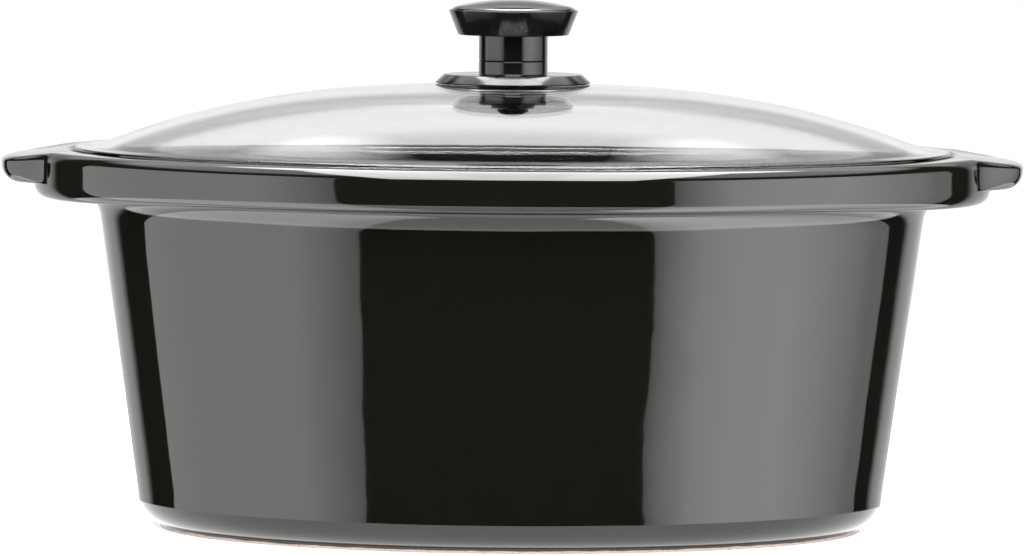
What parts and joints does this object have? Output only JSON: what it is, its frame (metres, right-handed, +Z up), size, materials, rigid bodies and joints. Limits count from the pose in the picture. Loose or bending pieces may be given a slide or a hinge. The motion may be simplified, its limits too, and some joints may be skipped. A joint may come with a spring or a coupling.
{
  "type": "slow cooker crock with lid",
  "caption": "Oval black-glazed stoneware slow cooker crock with a lug handle at each end and a domed clear glass lid with a black knob that lifts off.",
  "frame": {"origin": "on the ground, at the middle of the foot the crock stands on", "axes": "+X along the long side from handle to handle, +Y from the front to the back, +Z up through the knob"},
  "size_m": [0.424, 0.302, 0.22],
  "materials": {
    "black_glaze": "glossy fired glaze",
    "clear_glass": "clear tempered",
    "black_plastic": "semi-gloss moulded",
    "gloss_cap": "high gloss",
    "brass": "turned",
    "silicone": "matte",
    "steel": "blackened"
  },
  "bodies": {
    "crock": {"crock": "black_glaze"},
    "lid": {"lid_glass": "clear_glass", "knob_grip": "black_plastic", "knob_cap": "gloss_cap", "knob_skirt": "black_plastic", "knob_insert": "brass", "skirt_gasket": "silicone", "lid_hole_sleeve": "silicone", "lower_gasket": "silicone", "backing_washer": "steel", "lid_screw": "steel"}
  },
  "joints": [
    {"name": "lid_lift", "type": "slide", "parent": "crock", "child": "lid", "axis": [0, 0, 1], "range_m": [0, 0.1]}
  ]
}
